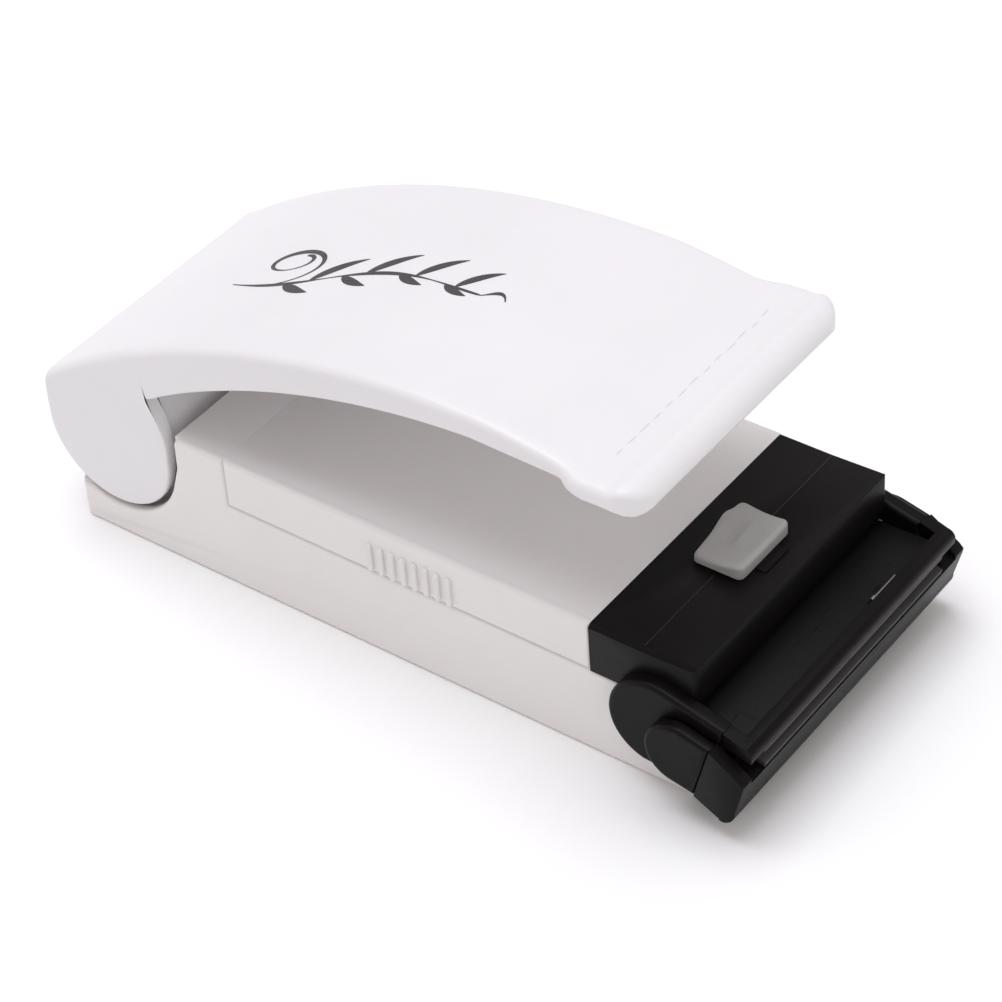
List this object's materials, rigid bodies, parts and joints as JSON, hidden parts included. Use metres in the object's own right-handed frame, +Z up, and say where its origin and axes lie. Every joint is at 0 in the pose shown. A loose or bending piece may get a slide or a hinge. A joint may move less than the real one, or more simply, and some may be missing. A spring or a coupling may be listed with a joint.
{
  "type": "handheld bag heat sealer",
  "caption": "Palm-sized bag heat sealer: low white battery body, long arched press lever hinged at the rear, black head with a slide button and a hinged sealing jaw across the front.",
  "frame": {"origin": "on the resting plane, at the middle of the width, under the line where the white body meets the black head", "axes": "+X forward to the jaw, +Y to the left side seen from the rear, +Z up; the body rests on its flat underside at z = 0"},
  "size_m": [0.1043, 0.0474, 0.0426],
  "materials": {
    "white_plastic": "fine satin moulded ABS, white",
    "black_plastic": "satin moulded ABS, black",
    "dark_grey_plastic": "matt moulded plastic, very dark grey",
    "grey_plastic": "satin moulded plastic, mid grey",
    "plated_steel": "nickel-plated",
    "spring_steel": "bright spring wire and strip",
    "cell_can": "printed sleeve with no mark, bare metal ends",
    "heater_alloy": "flat resistance ribbon",
    "release_tape": "PTFE-coated glass cloth, tan, fine weave",
    "silicone": "matt silicone strip, brick red",
    "brass": "thin leaf",
    "lead_insulation": "PVC insulation"
  },
  "bodies": {
    "housing": {"lower_casing": "white_plastic", "upper_casing": "white_plastic", "head_cover": "black_plastic", "front_plate": "dark_grey_plastic", "head_screws": "plated_steel", "battery_cell_left": "cell_can", "battery_cell_right": "cell_can", "contact_bridge": "plated_steel", "contact_positive": "plated_steel", "contact_negative": "plated_steel", "contact_spring_rear": "spring_steel", "contact_spring_front": "spring_steel", "hinge_pin": "plated_steel", "return_spring": "spring_steel", "jaw_ear_left": "black_plastic", "jaw_ear_right": "black_plastic", "upper_jaw_bar": "black_plastic", "heating_ribbon": "heater_alloy", "release_tape": "release_tape", "ribbon_clip": "spring_steel", "switch_block": "grey_plastic", "switch_leaf_fixed": "brass", "switch_leaf_moving": "brass", "lead_cell_to_switch": "lead_insulation", "lead_switch_to_ribbon": "lead_insulation", "lead_ribbon_to_cell": "lead_insulation"},
    "lever": {"lever_shell": "white_plastic", "lever_crank_pins": "plated_steel"},
    "links": {"pull_link_left": "plated_steel", "pull_link_right": "plated_steel"},
    "jaw": {"lower_jaw_bar": "black_plastic", "jaw_arm_left": "black_plastic", "jaw_arm_right": "black_plastic", "silicone_pad": "silicone", "jaw_shaft": "plated_steel", "jaw_crank_left": "plated_steel", "jaw_crank_right": "plated_steel"},
    "button": {"slide_button": "grey_plastic"},
    "door": {"battery_door": "white_plastic"}
  },
  "joints": [
    {"name": "lever_press", "type": "hinge", "parent": "housing", "child": "lever", "pos_m": [-0.072, 0, 0.0145], "axis": [0, 1, 0], "range_deg": [0, 10], "stiffness_Nm_per_rad": 1.2, "springref_deg": -8.59},
    {"name": "jaw_close", "type": "hinge", "parent": "housing", "child": "jaw", "pos_m": [0.0118, 0, 0.0093], "axis": [0, 1, 0], "range_deg": [-8, 0]},
    {"name": "link_pull", "type": "slide", "parent": "housing", "child": "links", "axis": [1, 0, 0], "range_m": [-0.00096, 0]},
    {"name": "button_slide", "type": "slide", "parent": "housing", "child": "button", "axis": [1, 0, 0], "range_m": [0, 0.003]},
    {"name": "door_slide", "type": "slide", "parent": "housing", "child": "door", "axis": [-1, 0, 0], "range_m": [0, 0.06]}
  ],
  "couplings": [
    {"joint": "jaw_close", "follows": "lever_press", "ratio": -0.8},
    {"joint": "link_pull", "follows": "lever_press", "m_per_rad": -0.0052}
  ]
}
